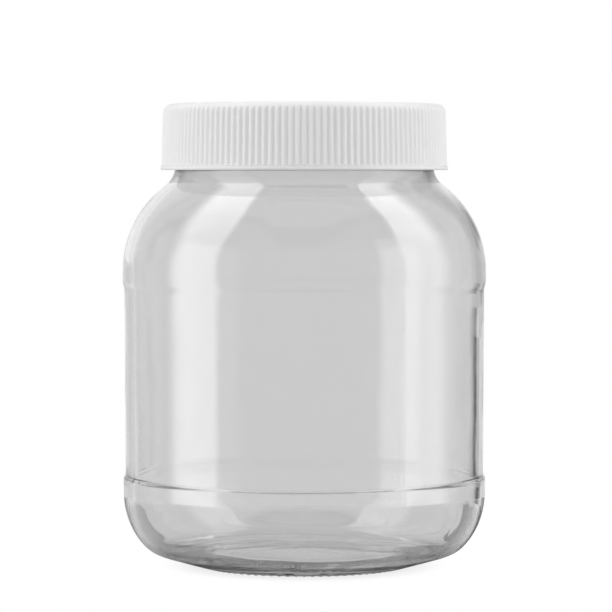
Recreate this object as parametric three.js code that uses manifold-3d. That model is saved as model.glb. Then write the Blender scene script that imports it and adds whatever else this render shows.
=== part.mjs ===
// Screw-top glass jar: a blown glass jar, a fluted screw cap and the sealing liner inside the cap.
// Millimetres, +Z up. The origin is on the table, under the centre of the jar's base.
import * as THREE from 'three';
import { mergeVertices } from 'three/addons/utils/BufferGeometryUtils.js';
import Module from 'manifold-3d';

// Jar, outside: land, base cone, heel, two beads with a label panel between them, shoulder, neck and rim.
const BODY_R = 55.1;
const PANEL_R = 54.45;
const HEEL_R = 55;
const LAND_OUTER_R = 31.6;
const LAND_INNER_R = 29.5;
const BASE_CONE = THREE.MathUtils.degToRad(16.2);
const BASE_BEND = 3;
const HEEL_Z = 22.9;
const HEEL_HALF_WIDTH = 18.5;
const HEEL_HALF_HEIGHT = 22;
const HEEL_CUT = THREE.MathUtils.degToRad(50);
const PANEL_BOTTOM_Z = 28.9;
const PANEL_TOP_Z = 83.6;
const BEAD_STEP = 2.4;
const SHOULDER_Z = 89.9;
const SHOULDER_HALF_WIDTH = 33.4;
const SHOULDER_HALF_HEIGHT = 32.4;
const NECK_R = 39.2;
const NECK_FILLET = 6.2;
const RIM_Z = 136.7;
const RIM_ROUND = 1.45;

// Jar, inside: the wall is thinnest at the panel and thickens into the heel and the base.
const WALL = 2.5;
const SHOULDER_WALL = 2.9;
const MOUTH_R = 36.4;
const MOUTH_FILLET = 8.6;
const FLOOR_R = 34.6;
const FLOOR_EDGE_Z = 4.6;
const FLOOR_CENTRE_Z = 7.4;
const PUSH_UP_STEP = 0.9;
const PUSH_UP_HEIGHT = 3.4;

// Cap: a drafted skirt with vertical ribs between a plain bottom band and a rounded top corner.
const CAP_BOTTOM_Z = 120;
const CAP_HEIGHT = 20;
const CAP_R = 43.25;
const CAP_DRAFT = 0.4;
const CAP_CORNER = 3;
const CAP_PANEL = 1.6;
const SKIRT_INNER_R = 41.4;
const SKIRT_INNER_ROUND = 0.8;
const BAND_R = 43.5;
const BAND_HEIGHT = 1.2;
const BAND_ROUND = 0.3;
const RIB_COUNT = 136;
const RIB_DEPTH = 0.5;
const RIB_CREST_SHARE = 0.5;
const RIB_ROOT_SHARE = 0.2;
const BLANK_CLEARANCE = 0.15;

// Liner: a die-cut disc pushed against the cap's panel, resting on the jar's rim.
const LINER_R = 40.9;
const LINER_THICKNESS = 1.5;
const LINER_EDGE = 0.25;
const SEAT_GAP = 0.1;

// Facets round the axis, and steps along each round of a profile.
const JAR_SIDES = 64;
const CAP_SIDES = RIB_COUNT / 2;
const LINER_SIDES = 64;
const LONG_ARC = 7;
const HEEL_ARC = 5;
const SHORT_ARC = 3;
const TINY_ARC = 2;
const DOME_SHARES = [0.66, 0.33, 0];
const HALVINGS = 50;
const MERGE_DISTANCE = 1e-3;
const CUT_PAST = 1;

const QUARTER = Math.PI / 2;
const CAP_TOP_Z = CAP_BOTTOM_Z + CAP_HEIGHT;

const wasm = await Module();
wasm.setup();

// Points of an elliptic arc in the profile plane, from one angle to another.
function arc(centreR, centreZ, halfWidth, halfHeight, from, to, steps) {
  const clockwise = to < from;
  const curve = new THREE.EllipseCurve(centreR, centreZ, halfWidth, halfHeight, from, to, clockwise);
  return curve.getPoints(steps);
}

function point(r, z) {
  return new THREE.Vector2(r, z);
}

// A shoulder that runs up an ellipse from its widest point and turns, through a hollow fillet, into an
// upright wall of the given radius. The angle where the two rounds touch is found by halving.
function shoulderToNeck(wideR, halfWidth, halfHeight, neckR, fillet) {
  const centreR = wideR - halfWidth;
  const filletCentre = (t) => {
    const normal = point(Math.cos(t) / halfWidth, Math.sin(t) / halfHeight).normalize();
    return {
      r: centreR + halfWidth * Math.cos(t) + fillet * normal.x,
      z: SHOULDER_Z + halfHeight * Math.sin(t) + fillet * normal.y,
      angle: Math.atan2(-normal.y, -normal.x),
    };
  };
  let low = 0;
  let high = QUARTER;
  for (let i = 0; i < HALVINGS; i += 1) {
    const middle = (low + high) / 2;
    if (filletCentre(middle).r > neckR + fillet) {
      low = middle;
    } else {
      high = middle;
    }
  }
  const { r, z, angle } = filletCentre(low);
  const shoulder = arc(centreR, SHOULDER_Z, halfWidth, halfHeight, 0, low, LONG_ARC);
  const hollow = arc(r, z, fillet, fillet, angle, -Math.PI, SHORT_ARC);
  return [...shoulder, ...hollow.slice(1)];
}

// Revolves a closed profile about Z. Going up the outside of the profile gives outward faces.
function revolve(profile, sides) {
  return new THREE.LatheGeometry(profile, sides).rotateX(QUARTER);
}

// A manifold solid from a closed geometry: positions only, shared corners merged, slivers dropped.
function toSolid(geometry) {
  const bare = new THREE.BufferGeometry();
  bare.setAttribute('position', geometry.getAttribute('position'));
  bare.setIndex(geometry.getIndex());
  const merged = mergeVertices(bare, MERGE_DISTANCE);
  const corners = merged.getIndex().array;
  const triVerts = [];
  for (let i = 0; i < corners.length; i += 3) {
    const [a, b, c] = corners.slice(i, i + 3);
    if (a !== b && b !== c && c !== a) {
      triVerts.push(a, b, c);
    }
  }
  const vertProperties = new Float32Array(merged.getAttribute('position').array);
  const mesh = new wasm.Mesh({ numProp: 3, vertProperties, triVerts: new Uint32Array(triVerts) });
  return new wasm.Manifold(mesh);
}

function toGeometry(solid) {
  const mesh = solid.getMesh();
  const geometry = new THREE.BufferGeometry();
  geometry.setAttribute('position', new THREE.BufferAttribute(mesh.vertProperties, 3));
  geometry.setIndex(new THREE.BufferAttribute(mesh.triVerts, 1));
  geometry.computeVertexNormals();
  return geometry;
}

// Base and heel: a low cone that rises from the land and bends up into the ellipse of the heel. The bend's
// control point is where the cone meets the ellipse's tangent at the cut.
function baseToHeel() {
  const centreR = HEEL_R - HEEL_HALF_WIDTH;
  const heel = arc(centreR, HEEL_Z, HEEL_HALF_WIDTH, HEEL_HALF_HEIGHT, -HEEL_CUT, 0, HEEL_ARC);
  const [start] = heel;
  const inward = HEEL_HALF_WIDTH * Math.sin(HEEL_CUT);
  const downward = HEEL_HALF_HEIGHT * Math.cos(HEEL_CUT);
  const slope = Math.tan(BASE_CONE);
  const share = (start.y - slope * (start.x - LAND_OUTER_R)) / (downward - slope * inward);
  const corner = point(start.x - share * inward, start.y - share * downward);
  const coneEnd = point(
    corner.x - BASE_BEND * Math.cos(BASE_CONE),
    corner.y - BASE_BEND * Math.sin(BASE_CONE),
  );
  const bend = new THREE.QuadraticBezierCurve(coneEnd, corner, start).getPoints(SHORT_ARC);
  return [point(LAND_OUTER_R, 0), ...bend, ...heel.slice(1)];
}

// Outside of the jar, from the land up to the outer edge of the rim.
function jarOutside() {
  return [
    ...baseToHeel(),
    point(HEEL_R, PANEL_BOTTOM_Z - BEAD_STEP),
    point(PANEL_R, PANEL_BOTTOM_Z),
    point(PANEL_R, PANEL_TOP_Z),
    point(BODY_R, PANEL_TOP_Z + BEAD_STEP),
    ...shoulderToNeck(BODY_R, SHOULDER_HALF_WIDTH, SHOULDER_HALF_HEIGHT, NECK_R, NECK_FILLET),
    ...arc(NECK_R - RIM_ROUND, RIM_Z - RIM_ROUND, RIM_ROUND, RIM_ROUND, 0, QUARTER, SHORT_ARC),
  ];
}

// Inside of the jar, from the inner edge of the rim down the mouth to the centre of the floor.
function jarInside() {
  const innerR = PANEL_R - WALL;
  const halfWidth = SHOULDER_HALF_WIDTH - (BODY_R - innerR);
  const halfHeight = SHOULDER_HALF_HEIGHT - SHOULDER_WALL;
  const shoulder = shoulderToNeck(innerR, halfWidth, halfHeight, MOUTH_R, MOUTH_FILLET);
  const heelHeight = HEEL_Z - FLOOR_EDGE_Z;
  return [
    ...arc(MOUTH_R + RIM_ROUND, RIM_Z - RIM_ROUND, RIM_ROUND, RIM_ROUND, QUARTER, 2 * QUARTER, SHORT_ARC),
    ...shoulder.reverse(),
    ...arc(FLOOR_R, HEEL_Z, innerR - FLOOR_R, heelHeight, 0, -QUARTER, LONG_ARC),
    ...dome(FLOOR_R, FLOOR_EDGE_Z, FLOOR_CENTRE_Z),
  ];
}

// A shallow dome over a disc, from just inside its edge to its centre.
function dome(edgeR, edgeZ, centreZ) {
  const rise = (share) => edgeZ + (centreZ - edgeZ) * Math.cos(share * QUARTER) ** 2;
  return DOME_SHARES.map((share) => point(edgeR * share, rise(share)));
}

// Underside of the base, from the centre of the push-up out to the land.
function jarUnderside() {
  const stepR = LAND_INNER_R - PUSH_UP_STEP;
  return [
    ...dome(stepR, PUSH_UP_STEP, PUSH_UP_HEIGHT).reverse(),
    point(stepR, PUSH_UP_STEP),
    point(LAND_INNER_R, 0),
  ];
}

function glassJar() {
  const profile = [...jarUnderside(), ...jarOutside(), ...jarInside()];
  return revolve(profile, JAR_SIDES);
}

// The cap's ribs as one drafted column: trapezoid ribs round a circle, drawn up and narrowed to the top.
function ribColumn() {
  const pitch = (2 * Math.PI) / RIB_COUNT;
  const flank = (1 - RIB_CREST_SHARE - RIB_ROOT_SHARE) / 2;
  const outline = new THREE.Shape();
  const stations = [
    [CAP_R - RIB_DEPTH, 0],
    [CAP_R - RIB_DEPTH, RIB_ROOT_SHARE],
    [CAP_R, RIB_ROOT_SHARE + flank],
    [CAP_R, RIB_ROOT_SHARE + flank + RIB_CREST_SHARE],
  ];
  const corners = [];
  for (let rib = 0; rib < RIB_COUNT; rib += 1) {
    for (const [r, share] of stations) {
      const angle = (rib + share) * pitch;
      corners.push(point(r * Math.cos(angle), r * Math.sin(angle)));
    }
  }
  outline.setFromPoints(corners);
  const column = new THREE.ExtrudeGeometry(outline, { depth: CAP_HEIGHT, bevelEnabled: false });
  const place = column.getAttribute('position');
  for (let i = 0; i < place.count; i += 1) {
    const narrowing = 1 - (CAP_DRAFT / CAP_R) * (place.getZ(i) / CAP_HEIGHT);
    place.setXY(i, place.getX(i) * narrowing, place.getY(i) * narrowing);
  }
  return column.translate(0, 0, CAP_BOTTOM_Z + BAND_HEIGHT / 2);
}

// What the ribs are trimmed to: a blank that clears the skirt and has the cap's rounded top corner.
function capBlank() {
  const cornerZ = CAP_TOP_Z - CAP_CORNER;
  const cornerR = CAP_R - CAP_DRAFT - CAP_CORNER + BLANK_CLEARANCE;
  return revolve([
    point(0, CAP_BOTTOM_Z),
    point(BAND_R, CAP_BOTTOM_Z),
    point(BAND_R, cornerZ),
    ...arc(cornerR, cornerZ, CAP_CORNER, CAP_CORNER, 0, QUARTER, SHORT_ARC),
    point(0, CAP_TOP_Z),
  ], CAP_SIDES);
}

// The plain band round the bottom of the skirt, as a disc that the hollow is cut from.
function capBand() {
  const topZ = CAP_BOTTOM_Z + BAND_HEIGHT;
  return revolve([
    point(0, CAP_BOTTOM_Z),
    point(BAND_R - BAND_ROUND, CAP_BOTTOM_Z),
    point(BAND_R, CAP_BOTTOM_Z + BAND_ROUND),
    point(BAND_R, topZ - BAND_ROUND),
    point(BAND_R - BAND_ROUND, topZ),
    point(0, topZ),
  ], CAP_SIDES);
}

// The hollow that takes the jar's neck and the liner.
function capHollow() {
  const ceilingZ = CAP_TOP_Z - CAP_PANEL;
  const roundR = SKIRT_INNER_R - SKIRT_INNER_ROUND;
  const roundZ = ceilingZ - SKIRT_INNER_ROUND;
  return revolve([
    point(0, CAP_BOTTOM_Z - CUT_PAST),
    point(SKIRT_INNER_R, CAP_BOTTOM_Z - CUT_PAST),
    ...arc(roundR, roundZ, SKIRT_INNER_ROUND, SKIRT_INNER_ROUND, 0, QUARTER, TINY_ARC),
    point(0, ceilingZ),
  ], CAP_SIDES);
}

function screwCap() {
  const ribs = toSolid(ribColumn()).intersect(toSolid(capBlank()));
  const shell = ribs.add(toSolid(capBand())).subtract(toSolid(capHollow()));
  return toGeometry(shell);
}

function capLiner() {
  const topZ = CAP_TOP_Z - CAP_PANEL - SEAT_GAP;
  const bottomZ = topZ - LINER_THICKNESS;
  return revolve([
    point(0, bottomZ),
    point(LINER_R - LINER_EDGE, bottomZ),
    point(LINER_R, bottomZ + LINER_EDGE),
    point(LINER_R, topZ - 2 * LINER_EDGE),
    point(LINER_R - 2 * LINER_EDGE, topZ),
    point(0, topZ),
  ], LINER_SIDES);
}

function piece(name, geometry, finish) {
  const mesh = new THREE.Mesh(geometry, new THREE.MeshStandardMaterial(finish));
  mesh.name = name;
  return mesh;
}

const jar = new THREE.Group();
jar.add(
  piece('glass_jar', glassJar(), {
    color: 0xe4e6e6, roughness: 0.03, metalness: 0, transparent: true, opacity: 0.35,
  }),
  piece('screw_cap', screwCap(), { color: 0xf0f0ef, roughness: 0.42, metalness: 0 }),
  piece('cap_liner', capLiner(), { color: 0xf4f3ef, roughness: 0.8, metalness: 0 }),
);

export default jar;
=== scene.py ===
import math

import bpy
import numpy as np
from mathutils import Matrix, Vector


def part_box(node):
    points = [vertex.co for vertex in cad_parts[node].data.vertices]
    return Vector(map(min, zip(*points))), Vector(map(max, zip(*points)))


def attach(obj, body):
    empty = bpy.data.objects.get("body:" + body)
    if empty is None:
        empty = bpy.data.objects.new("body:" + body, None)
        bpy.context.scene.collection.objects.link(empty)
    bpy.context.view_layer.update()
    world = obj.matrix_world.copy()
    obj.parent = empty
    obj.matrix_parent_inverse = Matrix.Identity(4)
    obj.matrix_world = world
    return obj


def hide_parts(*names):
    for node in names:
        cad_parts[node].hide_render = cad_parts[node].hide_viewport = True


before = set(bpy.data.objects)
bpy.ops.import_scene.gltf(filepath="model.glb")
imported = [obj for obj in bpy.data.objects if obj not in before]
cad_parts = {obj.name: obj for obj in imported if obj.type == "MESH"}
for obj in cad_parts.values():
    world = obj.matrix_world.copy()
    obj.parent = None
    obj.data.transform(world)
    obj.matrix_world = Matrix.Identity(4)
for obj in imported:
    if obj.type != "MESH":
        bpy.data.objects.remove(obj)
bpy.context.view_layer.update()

# Screw-top glass jar: the looks of the blown glass, the ribbed cap and the sealing liner.
# Metres, +Z up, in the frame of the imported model. Angles are in degrees where a name or a comment says so.

MM = 0.001
TURN = 2 * math.pi

# Outline of the jar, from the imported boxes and, where a box says nothing, close to the solids.
jar_low, jar_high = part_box("glass_jar")
cap_low, cap_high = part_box("screw_cap")
liner_low, liner_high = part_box("cap_liner")
BODY_R = jar_high.x
RIM_Z = jar_high.z
PANEL_TOP_R = 54.58 * MM
PANEL_LOW_R = 54.42 * MM
HEEL_R = 55.0 * MM
LAND_OUTER_R = 31.6 * MM
LAND_INNER_R = 29.5 * MM
BASE_CONE = math.radians(16.2)
BASE_BEND = 3 * MM
HEEL_Z = 22.9 * MM
HEEL_HALF_WIDTH = 18.5 * MM
HEEL_HALF_HEIGHT = 22 * MM
HEEL_CUT = math.radians(50)
PANEL_BOTTOM_Z = 28.0 * MM
PANEL_TOP_Z = 83.6 * MM
LOW_BEAD_STEP = 1.5 * MM
HIGH_BEAD_STEP = 2.8 * MM
SHOULDER_Z = 89.9 * MM
SHOULDER_HALF_WIDTH = 33.4 * MM
SHOULDER_HALF_HEIGHT = 32.25 * MM
NECK_R = 39.2 * MM
NECK_FILLET = 5.4 * MM
RIM_ROUND = 1.45 * MM

# Inside of the jar. The wall follows the beads and gets thicker towards the bottom, as blown glass does.
INNER_WIDE_R = 52.4 * MM
INNER_TOP_R = 51.95 * MM
INNER_LOW_R = 51.4 * MM
INNER_HEEL_R = 51.98 * MM
INNER_BEAD_STEP = 3.2 * MM
INNER_SHOULDER_HALF_WIDTH = 30.7 * MM
INNER_SHOULDER_HALF_HEIGHT = 29.6 * MM
MOUTH_R = 36.5 * MM
MOUTH_FILLET = 8.9 * MM
FLOOR_R = 40 * MM
FLOOR_EDGE_Z = 4.6 * MM
FLOOR_CENTRE_Z = 6.0 * MM
PUSH_UP_STEP = 0.6 * MM
PUSH_UP_HEIGHT = 3.4 * MM

# Marks of the glass maker's mould, and the slow waves that the blowing leaves inside.
LAND_BAR_COUNT = 80
LAND_BAR_DEPTH = 0.55 * MM
LAND_BARS = (30.4 * MM, 35.2 * MM)
LAND_BARS_END = 0.5 * MM
SEAM_HEIGHT = 0.07 * MM
SEAM_ANGLES = (0.35, 0.35 + math.pi)
SEAM_COLUMNS = 1.5
SEAM_Z = (5 * MM, 118 * MM)
SEAM_END = 3 * MM
FLOOR_RING_R = 38.3 * MM
FLOOR_RING_HALF_WIDTH = 1.3 * MM
FLOOR_RING_HEIGHT = 0.22 * MM
FLOOR_RING_START = math.radians(-65)
WALL_RIPPLE = 0.22 * MM
FLOOR_RIPPLE = 0.45 * MM
RIPPLE_START = 25 * MM
RIPPLE_RISE = 12 * MM

# Each slow wave: its turns round the jar, its radians a metre along the profile, and its phase.
RIPPLE_WAVES = ((2, 31, 0.4), (3, 52, 1.9), (5, 77, 3.1), (7, 120, 0.7), (11, 190, 5.2))

# Finish of the glass by height: the surface is wavier at the foot, and the pressed neck is a little dull.
WAVY_FOOT = (5 * MM, 11 * MM)
FOOT_WAVES = 0.6
WALL_WAVES = 0.15
PRESSED_NECK = (116 * MM, 117.5 * MM)
NECK_ROUGHNESS = 0.12
NECK_GLOSS = 0.08
BODY_GLOSS = 0.5

# Thread: six starts, right-handed, shared by the neck and the cap.
THREAD_STARTS = 6
THREAD_LEAD = 19.2 * MM
THREAD_RUN_OUT = math.radians(7)
THREAD_FULLNESS = 0.6
NECK_THREAD_Z = 126 * MM
NECK_THREAD_ZONE = (121 * MM, 134.2 * MM)
NECK_THREAD_END = 1 * MM
NECK_THREAD_SPAN = math.radians(52)
NECK_THREAD_HEIGHT = 1.45 * MM
NECK_THREAD_HALF_WIDTH = 0.95 * MM
CAP_THREAD_TOP_Z = NECK_THREAD_Z + 3.5 * MM
CAP_THREAD_SPAN = math.radians(30)
CAP_THREAD_HEIGHT = 1.2 * MM
CAP_THREAD_HALF_WIDTH = 0.55 * MM

# Cap.
CAP_BOTTOM_Z = cap_low.z
CAP_TOP_Z = cap_high.z
BAND_R = cap_high.x
CAP_R = 43.25 * MM
CAP_DRAFT = 0.4 * MM
CAP_CORNER = 3 * MM
CAP_PANEL = 1.6 * MM
SKIRT_INNER_R = 41.4 * MM
SKIRT_INNER_ROUND = 1 * MM
LEAD_IN_HEIGHT = 1 * MM
LEAD_IN_DEPTH = 0.4 * MM
BAND_HEIGHT = 1.2 * MM
BAND_ROUND = 0.3 * MM
RIB_COUNT = 136
RIB_DEPTH = 0.55 * MM
RIB_NARROWING = 1.1
RIB_FOOT = 0.7 * MM
GATE_R = 2.2 * MM
GATE_DEPTH = 0.25 * MM
GATE_SURROUND = 3 * GATE_R

# Liner.
LINER_R = liner_high.x
LINER_EDGE = 0.3 * MM
LINER_DENT = 0.08 * MM
LINER_DENT_HALF_WIDTH = 1.92 * MM
LINER_DENT_SIDE = 1.2 * MM

# Facets, the passes that fit and ease a profile, and two small lengths: how far from the ends of a straight
# its extra points lie, and what counts as no distance.
JAR_COLUMNS = 4 * LAND_BAR_COUNT
CAP_COLUMNS = 10 * RIB_COUNT
LINER_COLUMNS = 256
TABLE_COLUMNS = 96
FLOW_PASSES = 4
HALVINGS = 60
HOLD = 0.25 * MM
HAIR = 0.001 * MM

# Camera, at the height of the cap's lower edge, which is flat in the photograph. The horizon's height above
# the picture's centre and the focal length are in pixels, and the sensor is in millimetres.
IMAGE_SIDE = 612
SENSOR = 36
CAMERA_DISTANCE = 0.979
CAMERA_OFFSET = 0.5 * MM
FOCAL_PIXELS = 3226
HORIZON_PIXELS = 136
TILT_DOWN = math.atan2(HORIZON_PIXELS, FOCAL_PIXELS)
NEAREST_SEEN = 0.01

# Studio. Levels are radiance, and 1 is white. Dull and rough surfaces see the lit share of a panel's level.
# A softbox's level rises between two shares of its rows, and its edges run from the foot up as y and z.
# A card or flag is its two bearings in degrees, its foot and top, its level, and the shares of its width
# that ease to white.
AMBIENT_LEVEL = 0.70
LIT_SHARE = 0.55
SOFTBOX_LEVELS = (2.5, 4.0)
SOFTBOX_LEVEL_ROWS = (0.05, 0.3)
LEFT_X = -0.87
LEFT_FRONT_EDGE = ((-0.65, -1.0), (-0.65, 1.15), (-0.5, 1.72), (-0.26, 2.16), (0.4, 3.2), (1.1, 4.1))
LEFT_BACK_EDGE = ((0.09, -1.0), (0.09, 0.36), (0.3, 0.85), (0.47, 1.12), (0.84, 1.55), (1.6, 2.3))
LEFT_EASES = (0.18, 0.22)
RIGHT_X = 0.90
RIGHT_FRONT_EDGE = (
    (-0.46, -1.0), (-0.46, 0.5), (-0.36, 0.95), (-0.2, 1.38), (-0.06, 1.76), (0.5, 2.55), (1.3, 3.4)
)
RIGHT_BACK_EDGE = (
    (0.3, -1.0), (0.3, 0.34), (0.36, 0.62), (0.47, 0.9), (0.58, 1.13), (0.94, 1.56), (1.7, 2.2)
)
RIGHT_EASES = (0.08, 0.42)
CARD_DISTANCE = 1.0
FILL_CARD = (134, 112, -0.8, 0.7, 1.7, 0.3, 0.2)
RIM_CARD = (-10, -48, 0.1, 0.9, 1.15, 0.9, 0.1)
FLAGS = {
    "dark_flag_right": (29, 50, -0.8, 0.02, 0.08, 0.35, 0.5),
    "grey_flag_low": (11, 29, -0.8, 0.02, 0.74, 0.5, 0.05),
    "grey_flag_high": (11, 50, 0.02, 0.9, 0.58, 0.5, 0.3),
    "flag_left": (-14, -40, -0.8, 0.1, 0.74, 0.3, 0.2),
}
GLASS_BOUNCES = 32
GLOSS_BOUNCES = 12

# Table. Near the jar's axis the camera sees a share of the paper's lit shading, on paper painted darker
# where the painted shade lies, and it fades to studio white.
TABLE_R = 0.2
TABLE_Z = -0.05 * MM
CONTACT_KEPT = 0.18
CONTACT_REACH = (30 * MM, 45 * MM)

# Painted shadow of the jar, which the glass shows: it lies outside the land and in front of an edge that
# runs back by a slope on both sides, and is weaker at the sides. A painted wedge of shade on each side
# widens to the back between two edges that lean out by a slant, and is a little weaker at the left.
SHADE_LAND = (29.5 * MM, 30.5 * MM)
SHADE_SLOPE = 1.3
SHADE_EDGE = (-29 * MM, -21 * MM)
SHADE_SIDES = (32 * MM, 68 * MM)
SHADE_AT_SIDES = 0.5
SHADE_IN_LIGHT = 0.1
SHADE_FADE = (0.16, 0.2)
WEDGE_SLANTS = (0.36, 0.6)
WEDGE_EASES = ((25.5 * MM, 29.5 * MM), (40 * MM, 56 * MM))
WEDGE_START = (30 * MM, 34 * MM)
WEDGE_SIDES = (-1 * MM, 1 * MM)
WEDGE_AT_LEFT = 0.85


def elliptic_arc(centre_r, centre_z, half_width, half_height, start, end, count):
    """Profile points round an ellipse, start to end in radians: the centre plus half the width times the
    cosine and half the height times the sine."""
    angle = np.linspace(start, end, count)
    return np.stack([centre_r + half_width * np.cos(angle), centre_z + half_height * np.sin(angle)], axis=1)


def round_arc(centre_r, centre_z, radius, start, end, count):
    """Profile points round a circle, start to end in radians."""
    return elliptic_arc(centre_r, centre_z, radius, radius, start, end, count)


def line(start, end, count):
    """Profile points spread evenly from start to end."""
    return np.linspace(start, end, count)


def straight(start, end, count):
    """Profile points spread evenly from start to end, with one more close to each end that keeps the
    shading of the round beside it from running along the straight."""
    start, end = np.array(start), np.array(end)
    hold = HOLD * (end - start) / np.linalg.norm(end - start)
    return np.concatenate([[start], line(start + hold, end - hold, count), [end]])


def ease(share):
    """The cubic that leaves 0 and reaches 1 level: 3 x squared minus 2 x cubed, held at both ends."""
    held = np.clip(share, 0, 1)
    return held * held * (3 - 2 * held)


def joined(*stretches):
    """One profile from its stretches, with the points that neighbours share kept once."""
    points = np.concatenate(stretches)
    step = np.linalg.norm(np.diff(points, axis=0), axis=1)
    return points[np.concatenate([[True], step > HAIR])]


def length_along(points):
    """Length along a profile from its start to each of its points."""
    return np.concatenate([[0], np.cumsum(np.linalg.norm(np.diff(points, axis=0), axis=1))])


def flowing(points):
    """A profile respaced evenly and eased, so that its rounds run into each other: each pass puts every
    point but the ends half-way between its place and the middle of its neighbours."""
    length = length_along(points)
    even = np.linspace(0, length[-1], len(points))
    points = np.stack([np.interp(even, length, column) for column in points.T], axis=1)
    for _ in range(FLOW_PASSES):
        points[1:-1] = points[1:-1] / 2 + (points[:-2] + points[2:]) / 4
    return points


def shoulder_to_neck(wide_r, half_width, half_height, neck_r, fillet, counts):
    """An ellipse from its widest point up to where a round of radius fillet, tangent to it and to the
    upright wall of radius neck_r, takes over. The angle of the touching point is found by halving."""
    centre_r = wide_r - half_width
    low, high = 0.0, math.pi / 2
    for _ in range(HALVINGS):
        angle = (low + high) / 2
        normal = Vector((math.cos(angle) / half_width, math.sin(angle) / half_height)).normalized()
        round_r = centre_r + half_width * math.cos(angle) + fillet * normal.x
        if round_r > neck_r + fillet:
            low = angle
        else:
            high = angle
    round_z = SHOULDER_Z + half_height * math.sin(angle) + fillet * normal.y
    touch = math.atan2(-normal.y, -normal.x)
    shoulder = elliptic_arc(centre_r, SHOULDER_Z, half_width, half_height, 0, angle, counts[0])
    hollow = round_arc(round_r, round_z, fillet, touch, -math.pi, counts[1])
    return flowing(joined(shoulder, hollow))


def bead_step(start, end, count):
    """A smooth step in radius along a bead's edge, from start to end: the height goes evenly and the radius
    by the ease."""
    share = np.linspace(0, 1, count)
    return np.stack(
        [start[0] + (end[0] - start[0]) * ease(share), start[1] + (end[1] - start[1]) * share], axis=1
    )


def bend(start, corner, end, count):
    """A parabola that leaves start and reaches end along the lines from the corner to them."""
    share = np.linspace(0, 1, count)[:, None]
    return (1 - share) ** 2 * start + 2 * share * (1 - share) * corner + share ** 2 * end


def base_to_heel():
    """A low cone from the land that bends up into the heel's ellipse. The bend's corner is where the cone
    meets the tangent of the ellipse at the cut."""
    heel = elliptic_arc(
        HEEL_R - HEEL_HALF_WIDTH, HEEL_Z, HEEL_HALF_WIDTH, HEEL_HALF_HEIGHT, -HEEL_CUT, 0, 18
    )
    land = np.array([LAND_OUTER_R, 0])
    cone = np.array([math.cos(BASE_CONE), math.sin(BASE_CONE)])
    tangent = np.array([HEEL_HALF_WIDTH * math.sin(HEEL_CUT), HEEL_HALF_HEIGHT * math.cos(HEEL_CUT)])
    along_cone, _ = np.linalg.solve(np.stack([cone, tangent], axis=1), heel[0] - land)
    corner = land + along_cone * cone
    cone_end = corner - BASE_BEND * cone
    bars_end = land + cone * (LAND_BARS[1] + LAND_BARS_END - LAND_OUTER_R) / cone[0]
    return joined(
        line(land, bars_end, 10), line(bars_end, cone_end, 4), bend(cone_end, corner, heel[0], 6), heel
    )


def dome(edge_r, edge_z, centre_z, count):
    """A shallow dome: height goes from the edge to the centre as the squared cosine of a quarter turn."""
    share = np.linspace(1, 0, count)
    rise = np.cos(share * math.pi / 2) ** 2
    return np.stack([edge_r * share, edge_z + (centre_z - edge_z) * rise], axis=1)


def placed(name, places, faces, material):
    """A mesh object at the origin, from the places of its points and the points of its faces."""
    mesh = bpy.data.meshes.new(name)
    mesh.from_pydata(places.tolist(), [], faces)
    mesh.materials.append(material)
    thing = bpy.data.objects.new(name, mesh)
    bpy.context.scene.collection.objects.link(thing)
    return thing


def turned(profile, columns):
    """Angle, radius and height on a grid: the profile's points as rows, columns evenly round the axis."""
    angle = np.linspace(0, TURN, columns, endpoint=False)[None, :]
    return angle, profile[:, :1] + np.zeros_like(angle), profile[:, 1:] + np.zeros_like(angle)


def revolved(name, radius, height, angle, material):
    """A closed mesh from radius and height on a grid of profile rows and angle columns. The first and last
    rows lie on the axis, so each is one point with a fan of triangles."""
    rows, columns = radius.shape
    grid = np.stack([radius * np.cos(angle), radius * np.sin(angle), height], axis=2)
    body = grid[1:-1].reshape(-1, 3)
    places = np.concatenate([grid[:1, 0], body, grid[-1:, 0]])
    index = 1 + np.arange((rows - 2) * columns).reshape(rows - 2, columns)
    beside = np.roll(index, -1, axis=1)
    quads = np.stack([index[:-1], beside[:-1], beside[1:], index[1:]], axis=2).reshape(-1, 4)
    first_fan = np.stack([np.zeros(columns, int), beside[0], index[0]], axis=1)
    last_fan = np.stack([np.full(columns, len(places) - 1), index[-1], beside[-1]], axis=1)
    piece = placed(name, places, quads.tolist() + first_fan.tolist() + last_fan.tolist(), material)
    piece.data.shade_smooth()
    return piece


def thread_relief(angle, height, first_z, span, height_of_thread, half_width):
    """Relief of all thread starts: along each start the crest climbs one lead a turn; across it the relief
    is a raised cosine of the given half width to the power of the fullness, and it eases out over the
    run-out at both ends."""
    relief = np.zeros(np.broadcast(angle, height).shape)
    for start in range(THREAD_STARTS):
        along = np.mod(angle - start * TURN / THREAD_STARTS + THREAD_RUN_OUT, TURN) - THREAD_RUN_OUT
        crest_z = first_z + THREAD_LEAD * along / TURN
        across = np.clip((height - crest_z) / half_width, -1, 1)
        ends = ease(1 + along / THREAD_RUN_OUT) * ease(1 + (span - along) / THREAD_RUN_OUT)
        crest = (0.5 + 0.5 * np.cos(math.pi * across)) ** THREAD_FULLNESS
        relief = np.maximum(relief, height_of_thread * ends * crest)
    return relief


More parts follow.
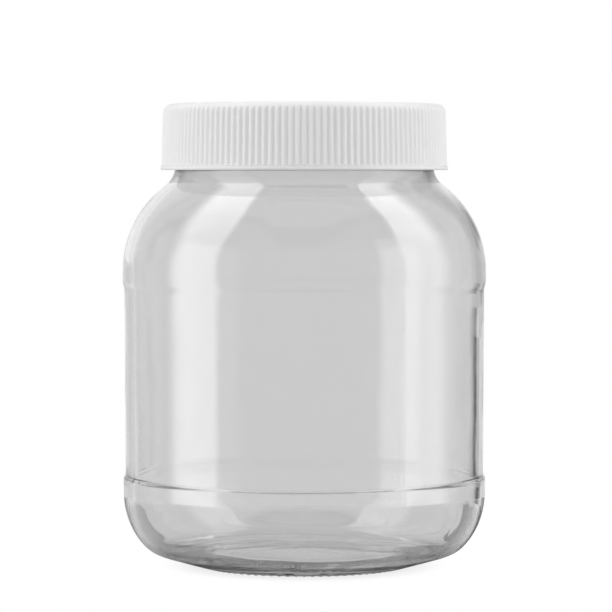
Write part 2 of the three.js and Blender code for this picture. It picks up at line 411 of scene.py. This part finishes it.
def glass_outside_profile():
    """Radius and height up the outside: push-up, land, heel, bead, panel, bead, shoulder, neck and rim."""
    step_r = LAND_INNER_R - PUSH_UP_STEP
    low_bead_z = PANEL_BOTTOM_Z - LOW_BEAD_STEP
    high_bead_z = PANEL_TOP_Z + HIGH_BEAD_STEP
    shoulder = shoulder_to_neck(
        BODY_R, SHOULDER_HALF_WIDTH, SHOULDER_HALF_HEIGHT, NECK_R, NECK_FILLET, (24, 14)
    )
    return joined(
        dome(step_r, PUSH_UP_STEP, PUSH_UP_HEIGHT, 12)[::-1],
        line((step_r, PUSH_UP_STEP), (LAND_INNER_R, 0), 3),
        line((LAND_INNER_R, 0), (LAND_OUTER_R, 0), 4),
        base_to_heel(),
        straight((HEEL_R, HEEL_Z), (HEEL_R, low_bead_z), 3),
        bead_step((HEEL_R, low_bead_z), (PANEL_LOW_R, PANEL_BOTTOM_Z), 8),
        straight((PANEL_LOW_R, PANEL_BOTTOM_Z), (PANEL_TOP_R, PANEL_TOP_Z), 8),
        bead_step((PANEL_TOP_R, PANEL_TOP_Z), (BODY_R, high_bead_z), 8),
        shoulder,
        straight(shoulder[-1], (NECK_R, RIM_Z - RIM_ROUND), 34),
        round_arc(NECK_R - RIM_ROUND, RIM_Z - RIM_ROUND, RIM_ROUND, 0, math.pi / 2, 6),
    )


def glass_inside_profile():
    """Radius and height down the inside: rim, mouth, shoulder, wall, heel and floor. The heel's rows lie
    closer together from where the floor's ring starts."""
    spread = (INNER_BEAD_STEP - HIGH_BEAD_STEP) / 2
    shoulder = shoulder_to_neck(
        INNER_WIDE_R,
        INNER_SHOULDER_HALF_WIDTH,
        INNER_SHOULDER_HALF_HEIGHT,
        MOUTH_R,
        MOUTH_FILLET,
        (22, 12),
    )
    high_top = PANEL_TOP_Z + HIGH_BEAD_STEP + spread
    high_low = PANEL_TOP_Z - spread
    heel = (FLOOR_R, HEEL_Z, INNER_HEEL_R - FLOOR_R, HEEL_Z - FLOOR_EDGE_Z)
    return joined(
        round_arc(MOUTH_R + RIM_ROUND, RIM_Z - RIM_ROUND, RIM_ROUND, math.pi / 2, math.pi, 6),
        straight((MOUTH_R, RIM_Z - RIM_ROUND), shoulder[-1], 4),
        shoulder[::-1],
        bead_step((INNER_WIDE_R, high_top), (INNER_TOP_R, high_low), 7),
        straight((INNER_TOP_R, high_low), (INNER_LOW_R, PANEL_BOTTOM_Z), 16),
        bead_step((INNER_LOW_R, PANEL_BOTTOM_Z), (INNER_HEEL_R, PANEL_BOTTOM_Z - LOW_BEAD_STEP), 8),
        elliptic_arc(*heel, 0, FLOOR_RING_START, 14),
        elliptic_arc(*heel, FLOOR_RING_START, -math.pi / 2, 26),
        dome(FLOOR_R, FLOOR_EDGE_Z, FLOOR_CENTRE_Z, 20),
    )


def wall_ripple(angle, along):
    """Slow waves of a blown inner wall: the mean of cosines of a few turns round the jar that drift as they
    go along, each divided by the root of its turns."""
    total = np.zeros(np.broadcast(angle, along).shape)
    for turns, per_metre, phase in RIPPLE_WAVES:
        total = total + np.cos(turns * angle + per_metre * along + phase) / math.sqrt(turns)
    return total / len(RIPPLE_WAVES)


def mould_seams(angle, z):
    """Relief of the mould's two seams: a narrow ridge at each seam's angle that eases out at both ends."""
    away = np.abs(np.mod(angle - np.array(SEAM_ANGLES)[:, None, None] + math.pi, TURN) - math.pi)
    ridge = ease(1 - away * JAR_COLUMNS / TURN / SEAM_COLUMNS).max(axis=0)
    return SEAM_HEIGHT * ridge * ease((z - SEAM_Z[0]) / SEAM_END) * ease((SEAM_Z[1] - z) / SEAM_END)


def land_bars(angle, r):
    """Height of the gaps between the short bars that the land stands on: a raised cosine of the bar count
    that eases out at the bars' ends."""
    on_land = ease((r - LAND_BARS[0]) / LAND_BARS_END) * ease((LAND_BARS[1] - r) / LAND_BARS_END)
    return LAND_BAR_DEPTH * on_land * (0.5 - 0.5 * np.cos(LAND_BAR_COUNT * angle))


def floor_ring(r, z):
    """Height of the ring that the first mould leaves on the floor inside: an eased ridge at one radius."""
    return FLOOR_RING_HEIGHT * ease(1 - np.abs(r - FLOOR_RING_R) / FLOOR_RING_HALF_WIDTH) * (z < HEEL_Z)


def glass_jar(material):
    """The jar as one revolved skin. The outside adds thread, mould seams and land bars to the profile's
    radius or height, and the inside adds the floor's ring and the slow waves of blown glass."""
    outside = glass_outside_profile()
    profile = np.concatenate([outside, glass_inside_profile()])
    is_inside = (np.arange(len(profile)) >= len(outside))[:, None]
    angle, r, z = turned(profile, JAR_COLUMNS)
    along = length_along(profile)[:, None]

    thread = thread_relief(
        angle, z, NECK_THREAD_Z, NECK_THREAD_SPAN, NECK_THREAD_HEIGHT, NECK_THREAD_HALF_WIDTH
    )
    above_start = ease((z - NECK_THREAD_ZONE[0]) / NECK_THREAD_END)
    below_end = ease((NECK_THREAD_ZONE[1] - z) / NECK_THREAD_END)
    r = r + ~is_inside * (above_start * below_end * thread + mould_seams(angle, z))
    z = z + ~is_inside * land_bars(angle, r)

    waves = is_inside * wall_ripple(angle, along) * ease(r / RIPPLE_RISE)
    below_mouth = ease((along - along[len(outside)] - RIPPLE_START) / RIPPLE_RISE)
    on_floor = ease((HEEL_Z - z) / RIPPLE_RISE)
    r = r + WALL_RIPPLE * below_mouth * waves
    z = z + FLOOR_RIPPLE * on_floor * waves + is_inside * floor_ring(r, z)
    return revolved("blown_glass_jar", r, z, angle, material)


def cap_rows():
    """Rows of the cap's skin: up the inside from the ceiling's centre, round the foot, up the outside and
    over the rounded corner to the top's centre. Also gives where the foot and the skirt begin."""
    ceiling_z = CAP_TOP_Z - CAP_PANEL
    inner_corner_r = SKIRT_INNER_R - SKIRT_INNER_ROUND
    corner_r = CAP_R - CAP_DRAFT - CAP_CORNER
    corner_z = CAP_TOP_Z - CAP_CORNER
    band_top = CAP_BOTTOM_Z + BAND_HEIGHT
    lead_in_z = CAP_BOTTOM_Z + LEAD_IN_HEIGHT
    half = math.pi / 2
    inside = joined(
        line((0, ceiling_z), (inner_corner_r, ceiling_z), 3),
        round_arc(inner_corner_r, ceiling_z - SKIRT_INNER_ROUND, SKIRT_INNER_ROUND, half, 0, 4),
        line((SKIRT_INNER_R, CAP_THREAD_TOP_Z), (SKIRT_INNER_R, lead_in_z), 27),
        line((SKIRT_INNER_R, lead_in_z), (SKIRT_INNER_R + LEAD_IN_DEPTH, CAP_BOTTOM_Z), 3),
    )
    foot = joined(
        round_arc(BAND_R - BAND_ROUND, CAP_BOTTOM_Z + BAND_ROUND, BAND_ROUND, -half, 0, 4),
        round_arc(BAND_R - BAND_ROUND, band_top - BAND_ROUND, BAND_ROUND, 0, half, 4),
    )
    skirt = joined(
        line((CAP_R, band_top), (CAP_R, band_top + RIB_FOOT), 4),
        line((CAP_R, band_top + RIB_FOOT), (CAP_R - CAP_DRAFT, corner_z), 3),
        round_arc(corner_r, corner_z, CAP_CORNER, 0, half, 13),
    )
    top = joined(
        line((corner_r, CAP_TOP_Z), (GATE_SURROUND, CAP_TOP_Z), 3),
        line((GATE_SURROUND, CAP_TOP_Z), (0, CAP_TOP_Z), 6),
    )
    return joined(inside, foot, skirt, top), len(inside), len(inside) + len(foot)


def screw_cap(material):
    """The cap as one revolved skin. On the skirt the radius is the smaller of the plain outline and the
    ribs: groove depth times a narrowed raised cosine of the rib count. Inside, the thread stands in from
    the wall. The gate's mark is an eased dent in the middle of the top."""
    rows, skirt_start, rib_start = cap_rows()
    angle, plain_r, z = turned(rows, CAP_COLUMNS)
    row = np.arange(len(rows))[:, None]

    thread_z = NECK_THREAD_Z - THREAD_LEAD / THREAD_STARTS / 2
    thread = thread_relief(angle, z, thread_z, CAP_THREAD_SPAN, CAP_THREAD_HEIGHT, CAP_THREAD_HALF_WIDTH)
    on_wall = (row < skirt_start) & (plain_r >= SKIRT_INNER_R - HAIR)
    r = plain_r - np.where(on_wall, thread, 0)

    groove = (0.5 - 0.5 * np.cos(RIB_COUNT * angle)) ** RIB_NARROWING
    above_foot = z - CAP_BOTTOM_Z - BAND_HEIGHT
    drafted = CAP_R - CAP_DRAFT * above_foot / (CAP_TOP_Z - CAP_CORNER - CAP_BOTTOM_Z - BAND_HEIGHT)
    ribbed = drafted - RIB_DEPTH * groove * ease(above_foot / RIB_FOOT)
    r = np.where(row >= rib_start, np.minimum(r, ribbed), r)

    z = z - GATE_DEPTH * ease(2 - r / GATE_R) * (row > rib_start)
    return revolved("ribbed_screw_cap", r, z, angle, material)


def cap_liner(material):
    """The liner as one revolved skin: a disc with rounded edges and, in its underside, the shallow ring
    with eased sides that the rim pressed in."""
    half = math.pi / 2
    low_z = liner_low.z
    high_z = liner_high.z
    edge_r = LINER_R - LINER_EDGE
    rows = joined(
        line((0, low_z), (edge_r, low_z), 60),
        round_arc(edge_r, low_z + LINER_EDGE, LINER_EDGE, -half, 0, 5),
        round_arc(edge_r, high_z - LINER_EDGE, LINER_EDGE, 0, half, 5),
        line((edge_r, high_z), (0, high_z), 12),
    )
    angle, r, z = turned(rows, LINER_COLUMNS)
    rim_r = (MOUTH_R + NECK_R) / 2
    dent = ease((LINER_DENT_HALF_WIDTH - np.abs(r - rim_r)) / LINER_DENT_SIDE)
    z = z + LINER_DENT * dent * (z < low_z + LINER_EDGE / 2)
    return revolved("sealing_liner", r, z, angle, material)


def linear(hex_colour):
    """Linear RGBA of an sRGB hex colour."""
    parts = [int(hex_colour[i:i + 2], 16) / 255 for i in (1, 3, 5)]
    return tuple(c / 12.92 if c <= 0.04045 else ((c + 0.055) / 1.055) ** 2.4 for c in parts) + (1.0,)


def add(tree, kind, links=None, values=None, **settings):
    """Adds a node: settings are its properties, values its sockets by name or number, links its inputs."""
    node = tree.nodes.new(kind)
    for key, value in settings.items():
        setattr(node, key, value)
    for key, value in (values or {}).items():
        node.inputs[key].default_value = value
    for key, source in (links or {}).items():
        tree.links.new(source, node.inputs[key])
    return node


def eased_steps(tree, *steps):
    """The product of smooth steps. A step is what it measures, the reach in which it changes, and what it
    holds before and after that reach."""
    factors = [
        add(
            tree,
            "ShaderNodeMapRange",
            {"Value": measure},
            {"From Min": reach[0], "From Max": reach[1], "To Min": before, "To Max": after},
            interpolation_type="SMOOTHSTEP",
        ).outputs["Result"]
        for measure, reach, before, after in steps
    ]
    product = factors[0]
    for factor in factors[1:]:
        product = add(tree, "ShaderNodeMath", {0: product, 1: factor}, operation="MULTIPLY").outputs[0]
    return product


def new_material(name):
    """An empty node material and its tree."""
    material = bpy.data.materials.new(name)
    material.use_nodes = True
    material.node_tree.nodes.clear()
    return material, material.node_tree


def blown_soda_lime_glass():
    """Clear jar glass, pressed and blown: bright gloss, a faint grey in the thick of it, and a slow ripple
    from the cool mould that bends what is seen through it. The pressed neck is a little dull."""
    material, tree = new_material("blown_soda_lime_glass")
    ripple_size = 9 * MM
    ripple_height = 0.2 * MM
    place = add(tree, "ShaderNodeTexCoord").outputs["Object"]
    height = add(tree, "ShaderNodeSeparateXYZ", {"Vector": place}).outputs["Z"]
    ripple = add(
        tree,
        "ShaderNodeTexNoise",
        {"Vector": place},
        {"Scale": 1 / ripple_size, "Detail": 1.0, "Roughness": 0.4},
    )
    bump = add(
        tree,
        "ShaderNodeBump",
        {
            "Height": ripple.outputs["Fac"],
            "Strength": eased_steps(tree, (height, WAVY_FOOT, FOOT_WAVES, WALL_WAVES)),
        },
        {"Distance": ripple_height},
    )
    glass = add(
        tree,
        "ShaderNodeBsdfPrincipled",
        {
            "Normal": bump.outputs["Normal"],
            "Roughness": eased_steps(tree, (height, PRESSED_NECK, 0.0, NECK_ROUGHNESS)),
            "Specular IOR Level": eased_steps(tree, (height, PRESSED_NECK, BODY_GLOSS, NECK_GLOSS)),
        },
        {"Base Color": linear("#e4e4e4"), "IOR": 1.52, "Transmission Weight": 1.0},
    )
    thickness = add(
        tree, "ShaderNodeVolumeAbsorption", None, {"Color": linear("#e6e6e6"), "Density": 38.0}
    )
    add(
        tree,
        "ShaderNodeOutputMaterial",
        {"Surface": glass.outputs["BSDF"], "Volume": thickness.outputs["Volume"]},
    )
    return material


def satin_polypropylene():
    """White moulded cap plastic: satin, a touch see-through at thin edges, with the fine grain of a
    spark-cut mould and slightly uneven gloss. The grain is as coarse as it needs to be to show."""
    material, tree = new_material("satin_polypropylene")
    grain_size = 0.35 * MM
    grain_height = 0.01 * MM
    cloud_size = 14 * MM
    place = add(tree, "ShaderNodeTexCoord").outputs["Object"]
    grain = add(tree, "ShaderNodeTexNoise", {"Vector": place}, {"Scale": 1 / grain_size, "Detail": 2.0})
    cloud = add(tree, "ShaderNodeTexNoise", {"Vector": place}, {"Scale": 1 / cloud_size, "Detail": 3.0})
    gloss = add(
        tree,
        "ShaderNodeMapRange",
        {"Value": cloud.outputs["Fac"]},
        {"From Min": 0.3, "From Max": 0.7, "To Min": 0.34, "To Max": 0.46},
    )
    shade = add(
        tree,
        "ShaderNodeMix",
        {"Factor": cloud.outputs["Fac"]},
        {"A": linear("#f0f0f0"), "B": linear("#ececec")},
        data_type="RGBA",
    )
    bump = add(
        tree,
        "ShaderNodeBump",
        {"Height": grain.outputs["Fac"]},
        {"Strength": 0.5, "Distance": grain_height},
    )
    plastic = add(
        tree,
        "ShaderNodeBsdfPrincipled",
        {
            "Base Color": shade.outputs["Result"],
            "Roughness": gloss.outputs["Result"],
            "Normal": bump.outputs["Normal"],
        },
        {
            "IOR": 1.49,
            "Subsurface Weight": 0.5,
            "Subsurface Radius": (1.0, 1.0, 1.0),
            "Subsurface Scale": 1.0 * MM,
        },
    )
    add(tree, "ShaderNodeOutputMaterial", {"Surface": plastic.outputs["BSDF"]})
    return material


def polyethylene_foam():
    """White closed-cell foam liner: dull, with small round cells that show as a soft pitting."""
    material, tree = new_material("polyethylene_foam")
    cell_size = 0.6 * MM
    cell_depth = 0.05 * MM
    place = add(tree, "ShaderNodeTexCoord").outputs["Object"]
    cells = add(tree, "ShaderNodeTexVoronoi", {"Vector": place}, {"Scale": 1 / cell_size})
    bump = add(
        tree,
        "ShaderNodeBump",
        {"Height": cells.outputs["Distance"]},
        {"Strength": 0.6, "Distance": cell_depth},
    )
    shade = add(
        tree,
        "ShaderNodeMix",
        {"Factor": cells.outputs["Distance"]},
        {"A": linear("#f4f3ef"), "B": linear("#e6e5e0")},
        data_type="RGBA",
    )
    foam = add(
        tree,
        "ShaderNodeBsdfPrincipled",
        {"Base Color": shade.outputs["Result"], "Normal": bump.outputs["Normal"]},
        {"Roughness": 0.8, "IOR": 1.45},
    )
    add(tree, "ShaderNodeOutputMaterial", {"Surface": foam.outputs["BSDF"]})
    return material


def seen_directly(tree):
    """1 for rays from the camera, off gloss or through glass, which should find a white studio; else 0."""
    path = add(tree, "ShaderNodeLightPath")
    seen = path.outputs["Is Camera Ray"]
    for kind in ("Is Glossy Ray", "Is Transmission Ray"):
        seen = add(tree, "ShaderNodeMath", {0: seen, 1: path.outputs[kind]}, operation="MAXIMUM").outputs[0]
    return seen


def white_studio_world():
    """White all round where it is seen, and a plain level for what it lights."""
    world = bpy.data.worlds.new("white_studio")
    bpy.context.scene.world = world
    world.use_nodes = True
    tree = world.node_tree
    tree.nodes.clear()
    level = add(tree, "ShaderNodeMix", {"Factor": seen_directly(tree)}, {"A": AMBIENT_LEVEL, "B": 1.0})
    light = add(
        tree, "ShaderNodeBackground", {"Strength": level.outputs["Result"]}, {"Color": (1, 1, 1, 1)}
    )
    add(tree, "ShaderNodeOutputWorld", {"Surface": light.outputs["Background"]})


def pale_floor_paper():
    """White paper sweep: dull, with a small contact shadow that fades to the white studio. Through the
    glass it shows a painted shadow of the jar, left open at the back and inside the land, and a painted
    wedge of shade on each side. Where the painted shade lies, the studio white gives way to the paper, and
    the paper's colour is painted darker, for the camera's contact shadow too."""
    material, tree = new_material("pale_floor_paper")
    plain_paper_colour = linear("#e0e0e0")
    painted_shade_colour = linear("#646464")
    place = add(tree, "ShaderNodeTexCoord").outputs["Object"]
    distance = add(tree, "ShaderNodeVectorMath", {0: place}, operation="LENGTH").outputs["Value"]
    parted = add(tree, "ShaderNodeSeparateXYZ", {"Vector": place})
    aside = add(tree, "ShaderNodeMath", {0: parted.outputs["X"]}, operation="ABSOLUTE").outputs[0]
    behind = add(
        tree,
        "ShaderNodeMath",
        {0: aside, 2: parted.outputs["Y"]},
        {1: -SHADE_SLOPE},
        operation="MULTIPLY_ADD",
    ).outputs[0]
    past_inner_edge, past_outer_edge = (
        add(
            tree,
            "ShaderNodeMath",
            {0: parted.outputs["Y"], 2: aside},
            {1: -slant},
            operation="MULTIPLY_ADD",
        ).outputs[0]
        for slant in WEDGE_SLANTS
    )
    # Painted shadow of the jar on the paper, set by where a point lies round the jar, not cast by a lamp.
    painted_jar_shadow = eased_steps(
        tree,
        (behind, SHADE_EDGE, 1.0, SHADE_IN_LIGHT),
        (distance, SHADE_LAND, SHADE_IN_LIGHT, 1.0),
        (distance, SHADE_FADE, 1.0, 0.0),
        (aside, SHADE_SIDES, 1.0, SHADE_AT_SIDES),
    )
    # Painted wedge of shade on each side of the jar, set by place like the painted shadow.
    wedge = eased_steps(
        tree,
        (past_inner_edge, WEDGE_EASES[0], 0.0, 1.0),
        (past_outer_edge, WEDGE_EASES[1], 1.0, 0.0),
        (distance, WEDGE_START, 0.0, 1.0),
        (parted.outputs["X"], WEDGE_SIDES, WEDGE_AT_LEFT, 1.0),
    )
    # All the painted shade is the larger of the two. The camera sees the contact share instead, other rays
    # the painted shade.
    painted_shade = add(tree, "ShaderNodeMath", {0: painted_jar_shadow, 1: wedge}, operation="MAXIMUM").outputs[0]
    shade = add(
        tree,
        "ShaderNodeMix",
        {
            "Factor": add(tree, "ShaderNodeLightPath").outputs["Is Camera Ray"],
            "A": painted_shade,
            "B": eased_steps(tree, (distance, CONTACT_REACH, CONTACT_KEPT, 0.0)),
        },
    )
    bright = add(tree, "ShaderNodeMath", {1: shade.outputs["Result"]}, {0: 1.0}, operation="SUBTRACT")
    share = add(
        tree, "ShaderNodeMath", {0: bright.outputs[0], 1: seen_directly(tree)}, operation="MULTIPLY"
    )
    # The paper's colour is painted darker where the painted shade lies.
    colour = add(
        tree, "ShaderNodeMix", {"Factor": painted_shade}, {"A": plain_paper_colour, "B": painted_shade_colour}, data_type="RGBA"
    )
    paper = add(tree, "ShaderNodeBsdfDiffuse", {"Color": colour.outputs["Result"]})
    white = add(tree, "ShaderNodeEmission", None, {"Strength": 1.0})
    both = add(
        tree,
        "ShaderNodeMixShader",
        {"Fac": share.outputs[0], 1: paper.outputs["BSDF"], 2: white.outputs["Emission"]},
    )
    add(tree, "ShaderNodeOutputMaterial", {"Surface": both.outputs["Shader"]})
    return material


def panel_fabric(name, levels, ease_in, ease_out):
    """Fabric of a studio panel: a level at the foot and one at the top, easing to white over a share of its
    width at the first and the second edge. Seen through glass with no mirroring on the way, a panel that is
    brighter than white is white. Dull and rough surfaces see the lit share of what glass shows."""
    material, tree = new_material(name)
    place = add(tree, "ShaderNodeUVMap", uv_map="panel").outputs["UV"]
    parted = add(tree, "ShaderNodeSeparateXYZ", {"Vector": place})
    across = parted.outputs["X"]
    level = add(
        tree,
        "ShaderNodeMapRange",
        {"Value": parted.outputs["Y"]},
        {
            "From Min": SOFTBOX_LEVEL_ROWS[0],
            "From Max": SOFTBOX_LEVEL_ROWS[1],
            "To Min": levels[0],
            "To Max": levels[1],
        },
    )
    share = eased_steps(
        tree, (across, (0.0, ease_in), 0.0, 1.0), (across, (1.0 - ease_out, 1.0), 1.0, 0.0)
    )
    shown = add(
        tree, "ShaderNodeMapRange", {"Value": share, "To Max": level.outputs["Result"]}, {"To Min": 1.0}
    ).outputs["Result"]
    path = add(tree, "ShaderNodeLightPath")
    if max(levels) > 1.0:
        unmirrored = add(
            tree,
            "ShaderNodeMath",
            {0: path.outputs["Is Transmission Ray"], 1: path.outputs["Glossy Depth"]},
            operation="SUBTRACT",
            use_clamp=True,
        )
        shown = add(
            tree, "ShaderNodeMix", {"Factor": unmirrored.outputs[0], "A": shown}, {"B": 1.0}
        ).outputs["Result"]
    by_glass = add(
        tree,
        "ShaderNodeMath",
        {0: path.outputs["Is Singular Ray"], 1: path.outputs["Is Transmission Ray"]},
        operation="MAXIMUM",
    )
    kept = add(
        tree, "ShaderNodeMapRange", {"Value": by_glass.outputs[0]}, {"To Min": LIT_SHARE, "To Max": 1.0}
    )
    strength = add(tree, "ShaderNodeMath", {0: shown, 1: kept.outputs["Result"]}, operation="MULTIPLY")
    light = add(tree, "ShaderNodeEmission", {"Strength": strength.outputs[0]})
    add(tree, "ShaderNodeOutputMaterial", {"Surface": light.outputs["Emission"]})
    return material


def studio_panel(name, first_edge, second_edge, fabric):
    """A sheet of fabric ruled between two edges of as many points each. The camera does not see it."""
    places = np.stack([first_edge, second_edge], axis=1).reshape(-1, 3)
    first = 2 * np.arange(len(first_edge) - 1)
    faces = np.stack([first, first + 1, first + 3, first + 2], axis=1)
    across = np.stack([faces.ravel() % 2, faces.ravel() // 2 / (len(first_edge) - 1)], axis=1)
    panel = placed(name, places, faces.tolist(), fabric)
    panel.data.uv_layers.new(name="panel").data.foreach_set("uv", across.ravel().astype(float))
    panel.visible_camera = False
    panel.visible_shadow = False
    return panel


def softbox(name, x, front_edge, back_edge, eases):
    """A tall softbox beside the jar, flat in the plane of one x, its edges given as y and z."""
    edges = [np.insert(np.array(edge), 0, x, axis=1) for edge in (front_edge, back_edge)]
    return studio_panel(name, *edges, panel_fabric(name, SOFTBOX_LEVELS, *eases))


def upright_card(name, first_degrees, last_degrees, low_z, high_z, level, ease_in, ease_out):
    """A card that stands off the jar between two bearings, in degrees from +Y towards +X."""
    edges = []
    for bearing in np.radians([first_degrees, last_degrees]):
        x = CARD_DISTANCE * math.sin(bearing)
        y = CARD_DISTANCE * math.cos(bearing)
        edges.append(np.array([(x, y, low_z), (x, y, high_z)]))
    return studio_panel(name, *edges, panel_fabric(name, (level, level), ease_in, ease_out))


def round_table():
    """A flat disc of pale paper under the jar, one face with a round rim."""
    angle = np.linspace(0, TURN, TABLE_COLUMNS, endpoint=False)
    rim = np.stack([TABLE_R * np.cos(angle), TABLE_R * np.sin(angle), np.full_like(angle, TABLE_Z)], axis=1)
    placed("round_table", rim, [list(range(TABLE_COLUMNS))], pale_floor_paper())


def camera():
    """The photograph's camera: level with the cap's lower edge, a long lens, tilted a little down."""
    data = bpy.data.cameras.new("camera")
    data.sensor_width = SENSOR
    data.lens = SENSOR * FOCAL_PIXELS / IMAGE_SIDE
    data.clip_start = NEAREST_SEEN
    eye = bpy.data.objects.new("camera", data)
    eye.location = (CAMERA_OFFSET, -CAMERA_DISTANCE, CAP_BOTTOM_Z)
    eye.rotation_euler = (math.pi / 2 - TILT_DOWN, 0, 0)
    bpy.context.scene.collection.objects.link(eye)
    bpy.context.scene.camera = eye


camera()
white_studio_world()
round_table()
softbox("softbox_left", LEFT_X, LEFT_FRONT_EDGE, LEFT_BACK_EDGE, LEFT_EASES)
softbox("softbox_right", RIGHT_X, RIGHT_FRONT_EDGE, RIGHT_BACK_EDGE, RIGHT_EASES)
upright_card("fill_right", *FILL_CARD)
for name, flag in FLAGS.items():
    upright_card(name, *flag).visible_diffuse = False
rim_card = upright_card("rim_card_left", *RIM_CARD)
rim_card.visible_diffuse = False
rim_card.visible_transmission = False

pieces = (
    (glass_jar(blown_soda_lime_glass()), "jar", "glass_jar", "clear_glass"),
    (screw_cap(satin_polypropylene()), "cap", "screw_cap", "cap_plastic"),
    (cap_liner(polyethylene_foam()), "liner", "cap_liner", "liner_foam"),
)
for piece, body, node, finish in pieces:
    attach(piece, body)
    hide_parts(node)

# The shoulder mirrors the softboxes right up to the neck, as in the photograph, and not the cap above it.
for piece, *_ in pieces[1:]:
    piece.visible_glossy = False

scene = bpy.context.scene
scene.view_settings.view_transform = "Standard"
scene.cycles.max_bounces = GLASS_BOUNCES
scene.cycles.transmission_bounces = GLASS_BOUNCES
scene.cycles.glossy_bounces = GLOSS_BOUNCES
